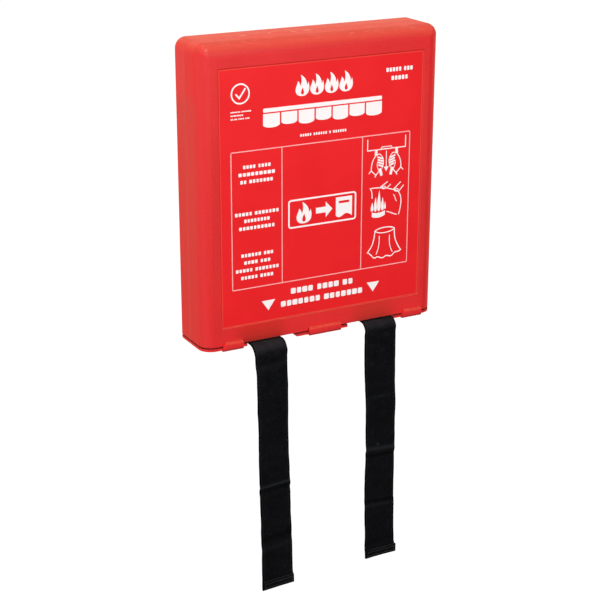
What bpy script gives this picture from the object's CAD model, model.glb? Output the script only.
"""A fire blanket in a red wall case, with two black pull straps hanging from its lower edge.

The case faces -Y, +X is its right-hand side and +Z is up. The frame's mouldings keep their
shapes and get soft edges; the straps, cloth, stitches and label print are built here.
Sizes are in millimetres unless a comment says otherwise, and meshes are made in metres.
"""

import math
from collections import namedtuple
from types import SimpleNamespace

import bmesh
import bpy
import numpy as np
from mathutils import Matrix, Vector, noise


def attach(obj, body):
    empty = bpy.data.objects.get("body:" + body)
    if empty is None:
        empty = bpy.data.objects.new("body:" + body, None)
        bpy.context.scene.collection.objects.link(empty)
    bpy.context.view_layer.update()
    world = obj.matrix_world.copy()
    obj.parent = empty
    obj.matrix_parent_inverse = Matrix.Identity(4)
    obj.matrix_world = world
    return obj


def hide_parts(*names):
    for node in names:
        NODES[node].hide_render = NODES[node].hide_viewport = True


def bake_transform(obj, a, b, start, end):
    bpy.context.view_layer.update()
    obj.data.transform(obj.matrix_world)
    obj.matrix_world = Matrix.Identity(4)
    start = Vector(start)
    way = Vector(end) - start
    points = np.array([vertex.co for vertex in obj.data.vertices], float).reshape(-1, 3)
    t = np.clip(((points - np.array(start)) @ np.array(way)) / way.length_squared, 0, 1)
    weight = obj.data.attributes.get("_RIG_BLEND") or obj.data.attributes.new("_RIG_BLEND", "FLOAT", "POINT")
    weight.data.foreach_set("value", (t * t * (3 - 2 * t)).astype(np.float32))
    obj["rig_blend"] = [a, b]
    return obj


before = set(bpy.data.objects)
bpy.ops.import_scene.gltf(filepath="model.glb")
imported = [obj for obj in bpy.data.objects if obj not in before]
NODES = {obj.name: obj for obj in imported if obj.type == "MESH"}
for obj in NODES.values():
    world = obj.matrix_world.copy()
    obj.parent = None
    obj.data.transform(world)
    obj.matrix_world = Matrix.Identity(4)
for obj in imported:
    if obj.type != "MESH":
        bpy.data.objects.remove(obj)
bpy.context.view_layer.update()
scene = bpy.context.scene
MM = 0.001

# ---------------------------------------------------------------------------
# sizes shared by several sections
# ---------------------------------------------------------------------------
SEAM_Y = -21.7                      # parting line between cover and tray
LABEL_W, LABEL_H = 229.4, 260.3
LABEL_Z = -131.1                    # lower edge of the label
LABEL_FACE_Y = -54.45
SHARP_ANGLE = math.radians(38)      # edges steeper than this are broken

STRAP_W, STRAP_T = 38.0, 1.3
STRAP_HALF = STRAP_W / 2
LEG_Y, LEG_TOP_Z = -42.05, -72.0    # the sewn leg inside the case
EXIT_Z, INNER_R = -151.95, 6.0      # where the strap runs forward, and the bend before it
HEM_H = 9.6                         # height of the doubled end

# x: centre of the strap. bend_y, bend_r: where it turns down, and the radius. tip: lower end.
# hang:   (place along the tail, sideways shift in mm, twist in degrees)
# marks:  (place along the tail, depth in mm, width, tilt) of old fold marks
# shades: (place, amount, width, tilt), grey where positive and dark where negative
# lint:   (place, across in mm, size in mm)
STRAPS = {
    "left": SimpleNamespace(
        x=-67.6, bend_y=-57.5, bend_r=13.5, tip_y=-78.5, tip_z=-424.2, seed=3.1,
        hang=[
            (-0.08, 0.3, 0.0), (-0.03, -0.3, 2.0), (0.0, -0.9, 4.5), (0.06, -0.6, 7.5),
            (0.12, -0.6, 6.4), (0.2, -0.5, 6.3), (0.3, -0.1, 6.8), (0.4, 0.0, 6.4),
            (0.5, 0.4, 5.2), (0.6, 0.7, 5.2), (0.7, 0.85, 6.8), (0.8, 0.95, 6.9),
            (0.9, 1.0, 6.2), (1.0, 1.3, 6.1),
        ],
        marks=[
            (0.050, 0.5, 0.022, 0.004), (0.545, 0.9, 0.012, 0.006), (0.568, -0.8, 0.012, 0.006),
            (0.79, -0.6, 0.02, 0.0), (0.82, 0.5, 0.02, 0.0),
        ],
        shades=[
            (0.030, 0.26, 0.016, -0.006), (0.5425, 0.72, 0.0065, 0.0), (0.558, -0.6, 0.010, 0.0),
            (0.33, -0.35, 0.03, 0.01), (0.772, -0.55, 0.022, 0.0), (0.815, 0.25, 0.02, 0.0),
        ],
        lint=[(0.144, -1.6, 0.35), (0.764, 7.9, 0.5), (0.92, 7.9, 0.4)],
    ),
    "right": SimpleNamespace(
        x=64.2, bend_y=-55.9, bend_r=11.0, tip_y=-74.0, tip_z=-423.2, seed=8.7,
        hang=[
            (-0.08, 1.0, 0.0), (-0.03, -0.2, 0.0), (0.0, -1.6, 0.0), (0.06, -1.7, 0.0),
            (0.12, -1.6, 0.2), (0.2, -1.65, 1.3), (0.3, -1.3, 0.2), (0.4, -1.5, 0.3),
            (0.5, -1.45, 1.7), (0.6, -1.8, 1.9), (0.7, -1.8, 1.7), (0.8, -1.6, 3.4),
            (0.88, -1.1, 5.2), (0.94, -1.1, 4.0), (1.0, -0.3, 3.6),
        ],
        marks=[
            (0.09, 0.35, 0.03, -0.004), (0.506, 0.6, 0.012, 0.012), (0.530, -0.5, 0.012, 0.012),
            (0.74, -0.4, 0.02, 0.005), (0.765, 0.4, 0.02, 0.005),
        ],
        shades=[
            (0.270, 0.28, 0.008, 0.0), (0.503, 0.55, 0.013, 0.007), (0.5335, -0.8, 0.007, 0.007),
            (0.745, -0.8, 0.007, 0.006), (0.763, 0.35, 0.010, 0.006), (0.93, -0.4, 0.015, 0.0),
        ],
        lint=[(0.481, -3.6, 0.75)],
    ),
}


# ---------------------------------------------------------------------------
# node helpers
# ---------------------------------------------------------------------------
XYZ = namedtuple("XYZ", "x y z")


def operation(kind, swapped=False):
    """A method that adds one maths node; swapped puts the value last."""
    def method(self, *others):
        values = (*others, self) if swapped else (self, *others)
        return self.graph.node("ShaderNodeMath", dict(enumerate(values)), operation=kind)
    return method


class Value:
    """The output of a node. Each sum, product or method below adds one node."""

    def __init__(self, graph, node, output=0):
        self.graph = graph
        self.node = node
        self.socket = node.outputs[output]

    __add__ = operation("ADD")
    __sub__ = operation("SUBTRACT")
    __rsub__ = operation("SUBTRACT", swapped=True)
    __mul__ = operation("MULTIPLY")
    __truediv__ = operation("DIVIDE")
    __mod__ = operation("MODULO")
    __pow__ = operation("POWER")
    __abs__ = operation("ABSOLUTE")
    maximum = operation("MAXIMUM")
    sine = operation("SINE")
    fract = operation("FRACT")
    floor = operation("FLOOR")

    def ease(self, start, end, to=(0.0, 1.0)):
        """Smooth step from to[0] at start to to[1] at end."""
        return self.graph.node("ShaderNodeMapRange", {
            "Value": self, "From Min": start, "From Max": end, "To Min": to[0], "To Max": to[1],
        }, interpolation_type="SMOOTHSTEP")

    def mix(self, colour, amount):
        """This colour with another laid over it."""
        return self.graph.mix(self, colour, amount)

    def split(self):
        node = self.graph.node("ShaderNodeSeparateXYZ", {0: self}).node
        return XYZ(*(Value(self.graph, node, i) for i in range(3)))

    def noise(self, per_mm, detail=2.0, rough=0.5):
        return self.graph.node("ShaderNodeTexNoise", {
            "Vector": self, "Scale": per_mm, "Detail": detail, "Roughness": rough,
        }, output="Fac")

    def cells(self, per_mm):
        """Distance to the nearest of many scattered points."""
        return self.graph.node(
            "ShaderNodeTexVoronoi", {"Vector": self, "Scale": per_mm}, output="Distance")

    def bump(self, strength, distance, normal=None):
        """Normal of a surface with this height; distance in metres."""
        inputs = {"Strength": strength, "Distance": distance, "Height": self}
        if normal is not None:
            inputs["Normal"] = normal
        return self.graph.node("ShaderNodeBump", inputs)


class Graph:
    """Short hand for building a node tree."""

    def __init__(self, tree):
        self.tree = tree
        tree.nodes.clear()

    def put(self, value, socket):
        if isinstance(value, Value):
            self.tree.links.new(value.socket, socket)
        elif isinstance(value, tuple) and len(value) == 3 and len(socket.default_value) == 4:
            socket.default_value = (*value, 1.0)
        else:
            socket.default_value = value

    def node(self, kind, inputs=None, output=0, **settings):
        """Add a node and return one of its outputs."""
        node = self.tree.nodes.new(kind)
        for key, setting in settings.items():
            setattr(node, key, setting)
        for key, value in (inputs or {}).items():
            self.put(value, node.inputs[key])
        return Value(self, node, output)

    def mix(self, first, second, amount):
        """Two colours mixed; 6, 7 and 2 are the Mix node's colour sockets."""
        inputs = {0: amount, 6: first, 7: second}
        return self.node("ShaderNodeMix", inputs, output=2, data_type="RGBA")

    def shader_mix(self, amount, first, second):
        return self.node("ShaderNodeMixShader", {0: amount, 1: first, 2: second})

    def vector(self, x, y, z):
        return self.node("ShaderNodeCombineXYZ", {0: x, 1: y, 2: z})

    def scaled(self, vector, scale):
        return self.node("ShaderNodeVectorMath", {0: vector, "Scale": scale}, operation="SCALE")

    def object_co(self, scale=1000.0):
        """Place in the frame, in millimetres by default."""
        return self.scaled(self.node("ShaderNodeTexCoord", output="Object"), scale)

    def uv(self):
        """Place on the cloth in millimetres (x across, y along)."""
        return self.scaled(self.node("ShaderNodeUVMap", uv_map="mm"), 1000.0)

    def normal(self):
        return self.node("ShaderNodeNewGeometry", output="Normal")

    def ramp(self, value, stops):
        """Colour along a scale; stops are (place from 0 to 1, red, green, blue in sRGB)."""
        ramp = self.node("ShaderNodeValToRGB", {0: value})
        elements = ramp.node.color_ramp.elements
        for element, stop in ((elements[0], stops[0]), (elements[1], stops[-1])):
            element.position = stop[0]
            element.color = (*srgb(*stop[1:]), 1.0)
        for stop in stops[1:-1]:
            elements.new(stop[0]).color = (*srgb(*stop[1:]), 1.0)
        return ramp


class Material(Graph):
    """A material with a Principled shader on its output."""

    def __init__(self, name):
        self.mat = bpy.data.materials.new(name)
        self.mat.use_nodes = True
        super().__init__(self.mat.node_tree)
        self.surface = self.tree.nodes.new("ShaderNodeOutputMaterial").inputs["Surface"]
        self.bsdf = self.node("ShaderNodeBsdfPrincipled")
        self.put(self.bsdf, self.surface)

    def set(self, **values):
        """Set the shader's inputs; underscores stand for spaces."""
        for key, value in values.items():
            self.put(value, self.bsdf.node.inputs[key.replace("_", " ")])


def srgb(*channels):
    """Linear colour from 0-255 sRGB."""
    def linear(c):
        c /= 255.0
        return c / 12.92 if c <= 0.04045 else ((c + 0.055) / 1.055) ** 2.4
    return tuple(linear(c) for c in channels)


# ---------------------------------------------------------------------------
# case plastic
# ---------------------------------------------------------------------------
# shift: moves the textures, in mm. top, flank: sRGB of the top and of the flanks high up.
PLASTIC = {
    "cover": SimpleNamespace(shift=0.0, top=(231, 54, 42), flank=(229, 17, 33)),
    "tray": SimpleNamespace(shift=37.0, top=(232, 72, 58), flank=(229, 39, 46)),
    "flap": SimpleNamespace(shift=91.0, top=(224, 46, 36), flank=(216, 36, 38)),
}
# (size of the normal's x, red, green, blue): from the front round to a flank
FLANK_SHADES = [
    (0.0, 216, 22, 26), (0.06, 213, 17, 21), (0.17, 216, 15, 19), (0.34, 211, 21, 24),
    (0.5, 210, 31, 34), (0.707, 209, 39, 42), (0.866, 209, 38, 39), (0.966, 213, 41, 42),
    (1.0, 218, 39, 41),
]
# (normal's z, red, green, blue): from the front up to the top; the last stop is the part's own
CROWN_SHADES = [
    (0.0, 216, 26, 29), (0.08, 209, 18, 22), (0.17, 208, 16, 19), (0.34, 203, 30, 14),
    (0.5, 201, 49, 27), (0.707, 203, 56, 34), (0.866, 200, 58, 36), (0.966, 203, 61, 42),
    (0.99, 218, 58, 42),
]
# rubbed marks beside the parting line on the top: (x, y, half length, half width)
RUBS = [
    (-74.2, -24.0, 4.8, 2.9), (-44.8, -23.4, 2.0, 2.7),
    (-19.0, -25.6, 4.2, 1.9), (-2.6, -24.2, 5.2, 3.3),
]


def facing_shades(g, part, at):
    """The moulding's red, which changes with the way the surface faces."""
    red = g.mix(srgb(216, 26, 29), srgb(225, 30, 32), at.broad.ease(0.3, 0.7))
    # round the upright corners: deeper where the front turns away, then the flank's shade
    red = red.mix(g.ramp(at.side, FLANK_SHADES), at.side.ease(0.015, 0.10, to=(0.0, 0.92)))
    right_corner = at.nx.ease(0.12, 0.8) * at.nx.ease(0.975, 0.995, to=(1.0, 0.0))
    red = red.mix(srgb(247, 46, 44), right_corner)
    # the upper front edge turns from the front's red to the paler top
    crown = at.nz.ease(0.02, 0.14, to=(0.0, 0.94))
    if part == "flap":
        crown = crown * at.z.ease(-149.6, -147.2)
    red = red.mix(g.ramp(at.nz, CROWN_SHADES + [(1.0, *PLASTIC[part].top)]), crown)
    # where an upright corner meets the top, the shade is redder again
    meeting = at.side.ease(0.12, 0.35) * at.nz.ease(0.50, 0.80, to=(0.0, 0.8))
    red = red.mix(srgb(224, 60, 49), meeting)
    corner = at.side.ease(0.22, 0.5) * at.nz.ease(0.06, 0.28)
    corner = corner * at.nz.ease(0.50, 0.80, to=(0.65, 0.0))
    corner_red = g.mix(srgb(222, 41, 41), srgb(200, 41, 36), at.ny.ease(-0.10, -0.35))
    red = red.mix(corner_red, corner)
    patch = at.side.ease(0.18, 0.32) * at.nz.ease(0.22, 0.42) * at.ny.ease(-0.05, -0.25)
    red = red.mix(srgb(203, 44, 36), patch * 0.85)
    # the flanks have a shade of their own near the top
    high = at.side.ease(0.90, 0.985) * at.z.ease(90.0, 108.0)
    red = red.mix(srgb(*PLASTIC[part].flank), high * 0.9)
    return red.mix(srgb(232, 48, 45), at.mottle.ease(0.35, 0.75, to=(0.0, 0.30)))


def plastic_wear(g, red, part, at):
    """Specks, rubbed edges and scuffs."""
    # scattered pale specks
    fleck = at.co.cells(per_mm=0.085).ease(0.028, 0.05, to=(1.0, 0.0))
    fleck = fleck * at.co.noise(per_mm=0.05, detail=0.0).ease(0.52, 0.6)
    red = red.mix(srgb(250, 170, 150), fleck * 0.55)
    # rubbed edges are paler
    rounded_normal = g.node("ShaderNodeBevel", {"Radius": 0.0011}, samples=4)
    turn = g.node("ShaderNodeVectorMath", {0: rounded_normal, 1: at.normal},
                  output="Value", operation="DOT_PRODUCT")
    worn = turn.ease(0.985, 0.80) * at.mottle.ease(0.4, 0.62, to=(0.25, 0.6))
    red = red.mix(srgb(238, 84, 74), worn)
    # fine scuffs along the top, where the case has been slid about
    stretched = g.vector(at.x * 0.075, at.y * 1.1, at.z * 0.9 + PLASTIC[part].shift)
    scuff = stretched.noise(per_mm=1.0, detail=3.0, rough=0.65)
    scuff = scuff.ease(0.55, 0.70, to=(0.0, 0.5)) * at.nz.ease(0.40, 0.95)
    red = red.mix(srgb(250, 142, 124), scuff)
    rub = None
    for x, y, length, width in RUBS:
        dx = (at.x - x) / length
        dy = (at.y - y) / width
        mark = (dx * dx + dy * dy + (at.mottle - 0.5) * 1.6).ease(1.1, 0.25)
        rub = mark if rub is None else rub.maximum(mark)
    red = red.mix(srgb(254, 182, 162), rub * 0.40 * at.nz.ease(0.90, 0.97))
    # the parting line is rubbed pale along the straight sides and the top
    straight = at.side.ease(0.90, 0.99).maximum(at.nz.ease(0.90, 0.99))
    seam = abs(at.y - SEAM_Y).ease(0.35, 1.15, to=(1.0, 0.0)) * straight
    return red.mix(srgb(250, 122, 108), seam * 0.55)


def cover_marks(g, red, at):
    # the margins beside the label are handled most and have gone a shade deeper
    margin = abs(at.x).ease(114.0, 116.5) * (at.z.ease(90.0, 58.0) * at.z.ease(-110.0, -60.0))
    margin = margin * at.side.ease(0.30, 0.05)
    red = red.mix((0.0, 0.002, 0.002), margin * 0.045)
    # the lower edge is darker where the straps leave and hands have pulled
    left = abs(at.x + 71.0).ease(14.0, 36.0, to=(1.0, 0.0))
    right = abs(at.x - 60.0).ease(8.0, 34.0, to=(0.86, 0.0))
    near = (left + right) * at.y.ease(-40.0, -50.0)
    red = red.mix((0.72, 0.0105, 0.0), left * at.z.ease(-130.5, -133.5) * 0.65)
    red = red.mix((0.72, 0.026, 0.005), right * at.z.ease(-130.5, -137.0) * 0.6)
    depth = at.z.ease(-131.0, -134.0, to=(0.0, 0.13)) + (
        at.z.ease(-135.0, -144.0, to=(0.0, 0.10)) + at.z.ease(-143.0, -151.0, to=(0.0, 0.22)))
    red = red.mix((0.0, 0.012, 0.004), near * depth)
    # shadowed rim beside the slot
    red = red.mix(srgb(110, 20, 18), at.z.ease(-149.5, -150.2, to=(0.0, 0.5)))
    # a rubbed spot on the upper left corner
    distance = g.node("ShaderNodeVectorMath", {0: g.object_co(), 1: (-125.7, -51.5, 148.4)},
                      output="Value", operation="DISTANCE")
    return red.mix(srgb(250, 146, 126), distance.ease(0.2, 2.2, to=(0.30, 0.0)))


def flap_marks(red, at):
    """Dirt in the slot under the cover, and clips that darken towards their lower edge."""
    slot = at.z.ease(-152.5, -151.9) * at.y.ease(-55.6, -54.8)
    red = red.mix(srgb(104, 16, 14), slot * 0.62)
    clips = at.y.ease(-54.6, -55.4) * at.z.ease(-150.0, -154.2, to=(0.0, 0.22))
    return red.mix((0.0, 0.01, 0.01), clips)


def make_plastic(part):
    """Satin moulded plastic, paler on its upward faces and rubbed along its edges."""
    g = Material(f"case_plastic_{part}")
    shift = PLASTIC[part].shift
    x, y, z = g.object_co().split()
    co = g.node("ShaderNodeVectorMath", {0: g.object_co(), 1: (shift, shift * 0.7, -shift)},
                operation="ADD")
    normal = g.normal()
    nx, ny, nz = normal.split()
    # x, y, z is the place; nx, ny, nz the normal; side how far it faces either flank
    at = SimpleNamespace(
        x=x, y=y, z=z, co=co, normal=normal, nx=nx, ny=ny, nz=nz, side=abs(nx),
        broad=co.noise(per_mm=0.012), mottle=co.noise(per_mm=0.5, detail=3.0, rough=0.6))
    red = plastic_wear(g, facing_shades(g, part, at), part, at)
    if part == "cover":
        red = cover_marks(g, red, at)
    if part == "flap":
        red = flap_marks(red, at)
    roughness = at.mottle.ease(0.3, 0.7) * 0.08 + 0.46 + at.broad.ease(0.4, 0.6) * 0.04
    # long, low waves left by the moulding, and a fine grain on top
    flow = co.noise(per_mm=0.035, detail=1.0).bump(strength=0.25, distance=0.0012)
    grain = co.noise(per_mm=2.4, rough=0.6) * 0.5 + at.mottle * 0.6
    # the sheen on the sides dies away towards the bottom
    low = at.z.ease(-150.0, 120.0, to=(1.0, 0.0)) * at.side.ease(0.75, 0.98)
    g.set(
        Base_Color=red, Roughness=roughness,
        Normal=grain.bump(strength=0.16, distance=0.00012, normal=flow),
        Specular_IOR_Level=0.5 - low * 0.20, Subsurface_Weight=0.06,
        Subsurface_Radius=(0.0016, 0.0004, 0.0003), Subsurface_Scale=1.0)
    return g.mat


# ---------------------------------------------------------------------------
# other materials
# ---------------------------------------------------------------------------
def make_label():
    g = Material("label_film")
    co = g.object_co()
    fine = co.noise(per_mm=1.1, detail=3.0, rough=0.6)
    broad = co.noise(per_mm=0.02)
    red = g.mix(srgb(231, 22, 28), srgb(236, 26, 32), broad.ease(0.3, 0.7))
    red = red.mix(srgb(240, 42, 44), fine.ease(0.45, 0.8, to=(0.0, 0.25)))
    # the cut edge of the film is pale
    x, _, z = co.split()
    beyond_ends = (z - (LABEL_Z + LABEL_H)).maximum(LABEL_Z - z)
    beyond = (abs(x) - LABEL_W / 2).maximum(beyond_ends)
    red = red.mix(srgb(240, 78, 60), beyond.ease(-0.95, -0.45, to=(0.0, 0.8)))
    g.set(Base_Color=red, Roughness=fine * 0.08 + 0.42, Specular_IOR_Level=0.33,
          Normal=(fine + broad * 3.0).bump(strength=0.08, distance=0.0002))
    return g.mat


def make_ink(name, dark, light):
    g = Material(name)
    fine = g.object_co().noise(per_mm=1.6, detail=3.0, rough=0.6)
    g.set(Base_Color=g.mix(dark, light, fine.ease(0.35, 0.75)), Roughness=0.45,
          Normal=fine.bump(strength=0.06, distance=0.0001))
    return g.mat


def make_webbing():
    """Black steep-twill webbing: u runs across the strap, v along it."""
    rib_pitch, twill_pitch = 0.60, 2.7
    g = Material("webbing")
    u, v, _ = g.uv().split()
    wobble = (g.uv().noise(per_mm=0.35) - 0.5) * 0.7
    rib_place = u / rib_pitch
    across = (rib_place.fract() * math.pi).sine() ** 0.7
    phase = ((v + wobble * 0.5) / twill_pitch - rib_place.floor() * (1.0 / 3.0)).fract()
    hump = (phase.ease(0.0, 0.80) * math.pi).sine().maximum(0.0) ** 0.5
    weave = across * hump
    # selvedge: a plain, tighter, smoother band at both sides
    edge = abs(u - STRAP_HALF)
    selvedge = edge.ease(STRAP_HALF - 1.9, STRAP_HALF - 1.3)
    cord = (v * (2 * math.pi / 1.1)).sine()
    fuzz = g.uv().noise(per_mm=3.2, detail=3.0, rough=0.7)
    height = weave * (1.0 - selvedge) + (cord * 0.18 + 0.35) * selvedge + fuzz * 0.35
    black = g.mix(srgb(0, 0, 1), srgb(18, 18, 20), weave.ease(0.15, 0.95))
    black = black.mix(srgb(34, 34, 37), fuzz.ease(0.54, 0.77, to=(0.0, 0.46)))
    # worn grey in places: streaks along the weave's slope
    slope = g.vector(u * 0.50 + v * 0.33, v * 0.10 - u * 0.06, 0.0)
    streak = slope.noise(per_mm=1.0, detail=3.0, rough=0.75)
    speck = g.uv().noise(per_mm=0.42, detail=3.0, rough=0.75)
    wear = streak * 0.55 + speck * 0.45
    black = black.mix(srgb(0, 0, 1), wear.ease(0.50, 0.39, to=(0.0, 0.65)))
    black = black.mix(srgb(40, 41, 45), wear.ease(0.51, 0.635, to=(0.0, 0.50)))
    # slanting ribs that stand proud, with dark between them
    rib = ((u * 0.31 - v * 0.27 + wobble * 0.55) * (2 * math.pi)).sine()
    show = g.uv().noise(per_mm=0.11).ease(0.30, 0.62, to=(0.20, 0.48))
    black = black.mix(srgb(37, 38, 42), rib.ease(0.18, 0.92) * show)
    black = black.mix(srgb(2, 2, 3), rib.ease(-0.08, -0.85) * show)
    # paler where it faces up
    facing_up = g.normal().split().z.ease(0.30, 0.90, to=(0.0, 0.6))
    black = black.mix(srgb(46, 45, 49), facing_up)
    black = black.mix(srgb(4, 4, 5), selvedge)
    ridge = abs(edge - (STRAP_HALF - 2.3)).ease(0.0, 0.7, to=(0.5, 0.0))
    black = black.mix(srgb(38, 38, 42), ridge)
    patch = g.object_co().noise(per_mm=0.06, detail=3.0)
    black = black.mix(srgb(3, 3, 4), patch.ease(0.40, 0.7, to=(0.0, 0.35)))
    # fold marks stored on the mesh: a grey ridge, a dark hollow, or a bright bit of lint
    crease = g.node("ShaderNodeAttribute", output="Fac", attribute_name="crease")
    black = black.mix(srgb(48, 50, 54), crease.ease(0.0, 1.0, to=(0.0, 0.6)))
    black = black.mix(srgb(0, 0, 0), crease.ease(0.0, -1.0, to=(0.0, 0.85)))
    black = black.mix(srgb(186, 188, 192), crease.ease(1.3, 2.4, to=(0.0, 0.85)))
    # small scattered lint
    lint = g.uv().cells(per_mm=0.11).ease(0.022, 0.04, to=(1.0, 0.0))
    lint = lint * g.uv().noise(per_mm=0.09, detail=0.0).ease(0.5, 0.56)
    black = black.mix(srgb(120, 120, 124), lint * 0.8)
    g.set(Base_Color=black, Roughness=0.85, Normal=height.bump(strength=0.8, distance=0.00025),
          Specular_IOR_Level=0.05, Sheen_Weight=0.010, Sheen_Roughness=0.45,
          Sheen_Tint=(0.72, 0.74, 0.80))
    return g.mat


def make_thread(name, dark, light):
    """Twisted sewing thread: v runs along each stitch."""
    g = Material(name)
    u, v, _ = g.uv().split()
    ply = ((v * 2.4 + u * 1.0) * (2 * math.pi)).sine() * 0.5 + 0.5
    shade = (ply + g.object_co().noise(per_mm=3.0) * 0.4).ease(0.2, 1.1)
    g.set(Base_Color=g.mix(dark, light, shade), Roughness=0.6, Sheen_Weight=0.15,
          Normal=ply.bump(strength=0.6, distance=0.00015))
    return g.mat


def make_glass_cloth():
    """Plain-woven glass-fibre cloth: flat shiny yarns, off-white."""
    yarn_pitch = 0.95
    g = Material("glass_cloth")
    uv = g.uv()
    u, v, _ = uv.split()
    u = u + (uv.noise(per_mm=0.12) - 0.5) * 0.8
    v = v + (uv.noise(per_mm=0.09) - 0.5) * 0.8
    column = u / yarn_pitch
    row = v / yarn_pitch
    # 1 where the warp is on top, 0 where the weft is
    warp_up = abs((column.floor() + row.floor()) % 2.0)
    across = (column.fract() * math.pi).sine()
    along = (row.fract() * math.pi).sine()
    warp = across ** 0.6 * (along * 0.5 + 0.5)
    weft = along ** 0.6 * (across * 0.5 + 0.5)
    height = warp * warp_up + weft * (1.0 - warp_up)
    warp_strand = g.vector(u * 9.0, v * 0.8, 0.0).noise(per_mm=1.0)
    weft_strand = g.vector(u * 0.8, v * 9.0, 3.0).noise(per_mm=1.0)
    strand = warp_strand * warp_up + weft_strand * (1.0 - warp_up)
    broad = uv.noise(per_mm=0.015, detail=3.0)
    white = g.mix(srgb(196, 190, 172), srgb(236, 232, 220), height.ease(0.2, 0.9))
    white = white.mix(srgb(246, 243, 234), strand.ease(0.4, 0.7, to=(0.0, 0.4)))
    white = white.mix(srgb(222, 212, 186), broad.ease(0.4, 0.75, to=(0.0, 0.35)))
    g.set(Base_Color=white, Roughness=0.62 - strand * 0.2, Sheen_Weight=0.2,
          Normal=(height + strand * 0.3).bump(strength=0.6, distance=0.00022))
    return g.mat


MAT = {
    "cover": make_plastic("cover"),
    "tray": make_plastic("tray"),
    "flap": make_plastic("flap"),
    "label": make_label(),
    "ink": make_ink("label_print", srgb(250, 240, 240), srgb(255, 250, 249)),
    "line": make_ink("label_line_print", srgb(246, 168, 168), srgb(250, 192, 191)),
    "webbing": make_webbing(),
    "thread": make_thread("black_thread", srgb(7, 7, 8), srgb(27, 27, 30)),
    "white_thread": make_thread("glass_thread", srgb(196, 190, 170), srgb(240, 236, 224)),
    "cloth": make_glass_cloth(),
}


# ---------------------------------------------------------------------------
# mesh helpers
# ---------------------------------------------------------------------------
def link(name, data):
    ob = bpy.data.objects.new(name, data)
    scene.collection.objects.link(ob)
    return ob


def new_mesh(name, verts, faces, mat, uvs):
    """A smooth mesh; verts and the per-vertex uvs are in millimetres."""
    mesh = bpy.data.meshes.new(name)
    mesh.from_pydata([(x * MM, y * MM, z * MM) for x, y, z in verts], [], faces)
    mesh.update()
    ob = link(name, mesh)
    mesh.materials.append(mat)
    mesh.polygons.foreach_set("use_smooth", [True] * len(mesh.polygons))
    corner_verts = np.zeros(len(mesh.loops), np.int32)
    mesh.loops.foreach_get("vertex_index", corner_verts)
    corner_uvs = np.asarray(uvs, float)[corner_verts] * MM
    layer = mesh.uv_layers.new(name="mm")
    layer.data.foreach_set("uv", corner_uvs.astype(np.float32).ravel())
    return ob


def face_outwards(mesh):
    bm = bmesh.new()
    bm.from_mesh(mesh)
    bmesh.ops.recalc_face_normals(bm, faces=bm.faces)
    bm.to_mesh(mesh)
    bm.free()


def add_modifier(ob, name, kind, **settings):
    modifier = ob.modifiers.new(name, kind)
    for key, value in settings.items():
        setattr(modifier, key, value)


def fbm(x, y, z, octaves=3):
    """Fractal noise, from about -1 to 1."""
    return noise.fractal(Vector((x, y, z)), 1.0, 2.0, octaves)


def clamp(value, low, high):
    return min(max(value, low), high)


def surface_y(ob, x, z):
    """Frontmost y of a mesh at (x, z), by a ray from the front."""
    location = ob.ray_cast(Vector((x * MM, -0.2, z * MM)), Vector((0, 1, 0)))[1]
    return location.y / MM


# ---------------------------------------------------------------------------
# the red mouldings and the label film: the frame's own nodes, with their edges broken
# ---------------------------------------------------------------------------
def smooth_group():
    """Geometry nodes that shade smooth, but for edges over SHARP_ANGLE."""
    tree = bpy.data.node_groups.new("smooth_by_angle", "GeometryNodeTree")
    for way in ("INPUT", "OUTPUT"):
        tree.interface.new_socket("Geometry", in_out=way, socket_type="NodeSocketGeometry")
    g = Graph(tree)
    whole = g.node("GeometryNodeSetShadeSmooth", {"Geometry": g.node("NodeGroupInput")},
                   domain="FACE")
    angle = g.node("GeometryNodeInputMeshEdgeAngle")
    sharp = g.node("FunctionNodeCompare", {0: angle, 1: SHARP_ANGLE},
                   data_type="FLOAT", operation="GREATER_THAN")
    edges = g.node("GeometryNodeSetShadeSmooth",
                   {"Geometry": whole, "Selection": sharp, "Shade Smooth": False},
                   domain="EDGE")
    g.put(edges, tree.nodes.new("NodeGroupOutput").inputs[0])
    return tree


SMOOTH = smooth_group()


def finish_moulding(node, mat, width):
    """Give a frame node its material and edges broken by width (metres)."""
    ob = NODES[node]
    attributes = ob.data.attributes
    if "custom_normal" in attributes:
        attributes.remove(attributes["custom_normal"])
    for slot in ob.material_slots:
        slot.material = mat
    add_modifier(ob, "weld", "WELD", merge_threshold=2e-6)
    add_modifier(ob, "edges", "BEVEL", width=width, segments=2, limit_method="ANGLE",
                 angle_limit=SHARP_ANGLE, use_clamp_overlap=True, miter_outer="MITER_ARC")
    add_modifier(ob, "smooth", "NODES", node_group=SMOOTH)
    add_modifier(ob, "normals", "WEIGHTED_NORMAL", keep_sharp=True, weight=60)
    return ob


finish_moulding("front_cover", MAT["cover"], width=0.00022)
finish_moulding("back_tray", MAT["tray"], width=0.00022)
finish_moulding("bottom_flap", MAT["flap"], width=0.0003)
finish_moulding("front_label", MAT["label"], width=0.00008)


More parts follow.
